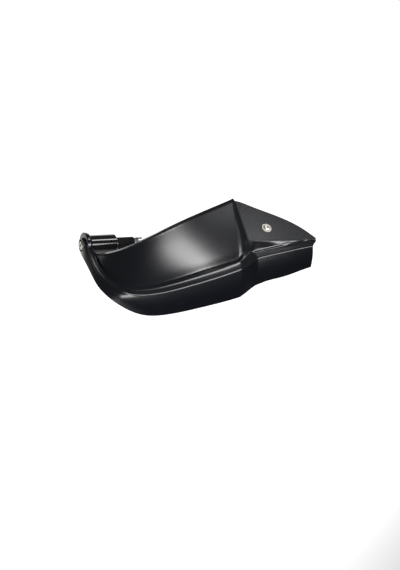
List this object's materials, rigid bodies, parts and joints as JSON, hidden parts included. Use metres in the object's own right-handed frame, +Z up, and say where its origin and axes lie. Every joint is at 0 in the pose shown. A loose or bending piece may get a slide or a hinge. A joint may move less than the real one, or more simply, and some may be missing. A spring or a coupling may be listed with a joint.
{
  "type": "motorcycle hand guard",
  "caption": "Moulded wrap-around hand guard with a scooped front panel and lower skirt, fixed by a weighted bar-end plug and a bent bracket on a bar clamp.",
  "frame": {"origin": "on the handlebar's axis, at the outboard face of the rubber plug that swells in the bar's bore", "axes": "+X along the handlebar toward the middle of the motorcycle, +Y to the rider, +Z up"},
  "size_m": [0.3285, 0.1469, 0.1424],
  "materials": {
    "satin_black_plastic": "fine satin moulding",
    "gloss_black_steel": "gloss black",
    "satin_black_steel": "satin black powder coat",
    "stainless_steel": "turned stainless",
    "zinc_steel": "bright zinc",
    "black_alloy": "black anodised",
    "black_rubber": "matt"
  },
  "bodies": {
    "root": {"guard_shell": "satin_black_plastic", "ring_sleeve": "zinc_steel", "dished_washer": "gloss_black_steel", "bar_end_bolt": "stainless_steel", "bar_end_weight": "gloss_black_steel", "collar_washer": "zinc_steel", "swelling_rubber": "black_rubber", "cone_nut": "zinc_steel", "bracket": "satin_black_steel", "clamp_upper": "black_alloy", "clamp_lower": "black_alloy", "clamp_bolt_front": "stainless_steel", "clamp_bolt_rear": "stainless_steel", "clamp_washer_front": "stainless_steel", "clamp_washer_rear": "stainless_steel", "bracket_bolt": "stainless_steel", "bracket_washer": "stainless_steel", "guard_screw": "stainless_steel", "grommet": "black_rubber", "spacer_sleeve": "zinc_steel", "wide_washer": "stainless_steel", "lock_nut": "stainless_steel"}
  },
  "joints": []
}
